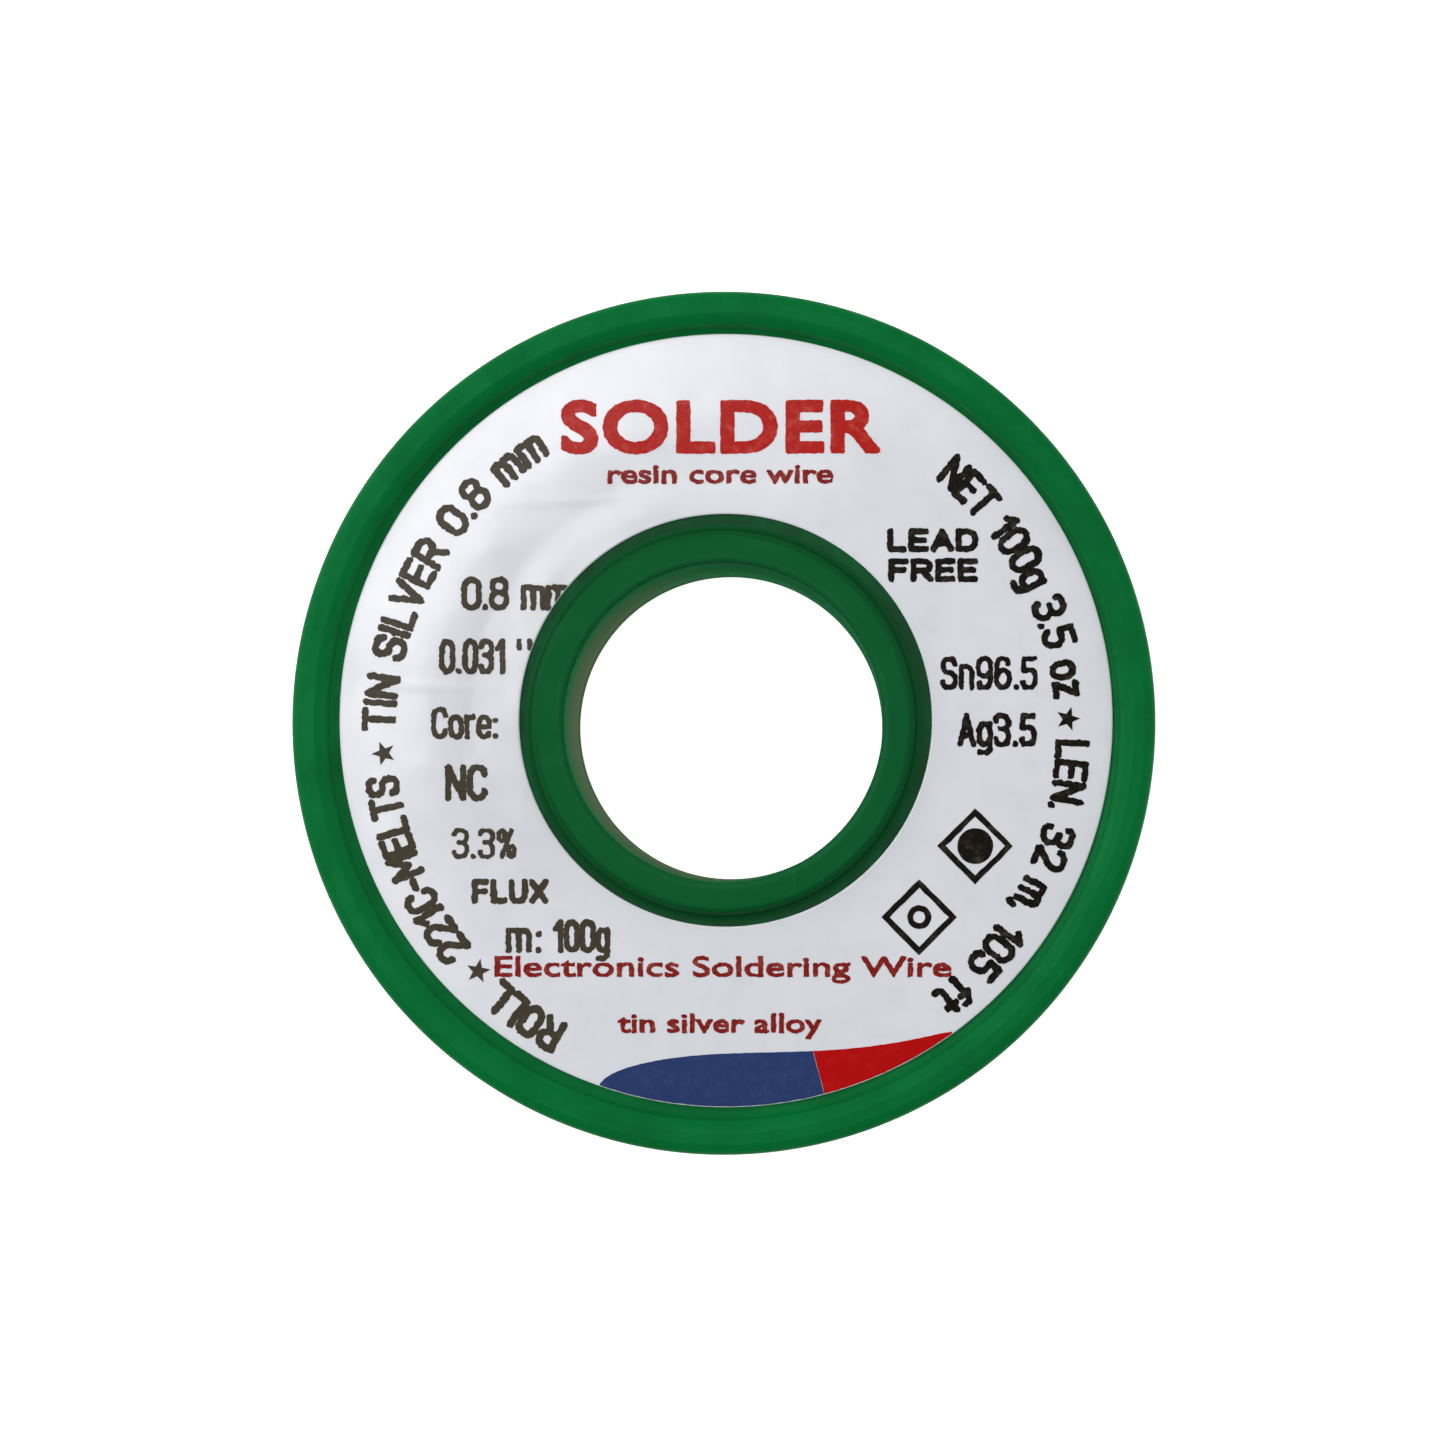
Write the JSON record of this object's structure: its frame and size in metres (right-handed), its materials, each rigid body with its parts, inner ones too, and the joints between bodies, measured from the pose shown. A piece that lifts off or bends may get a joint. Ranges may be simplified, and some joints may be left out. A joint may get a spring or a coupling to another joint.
{
  "type": "solder wire spool",
  "caption": "Small moulded plastic spool with a raised rim, a collar around its spindle bore and a ring label, wound with flux-cored solder wire.",
  "frame": {"origin": "middle of the rear face, on the plane the spool lies on", "axes": "+Z along the spool's axis, out of the labelled front face; +Y to the top of the label, +X to its right"},
  "size_m": [0.056, 0.056, 0.022],
  "materials": {
    "green_plastic": "semi-gloss moulded polystyrene",
    "green_plastic_core": "semi-gloss moulded polystyrene",
    "solder": "bright drawn tin-silver solder",
    "flux": "amber rosin-like flux",
    "label_film": "white glossy label film"
  },
  "bodies": {
    "root": {"core_tube": "green_plastic_core", "front_flange": "green_plastic", "rear_flange": "green_plastic", "solder_winding": "solder", "wire_start_tail": "solder", "wire_end_tail": "solder", "flux_core": "flux", "front_label": "label_film"}
  },
  "joints": []
}
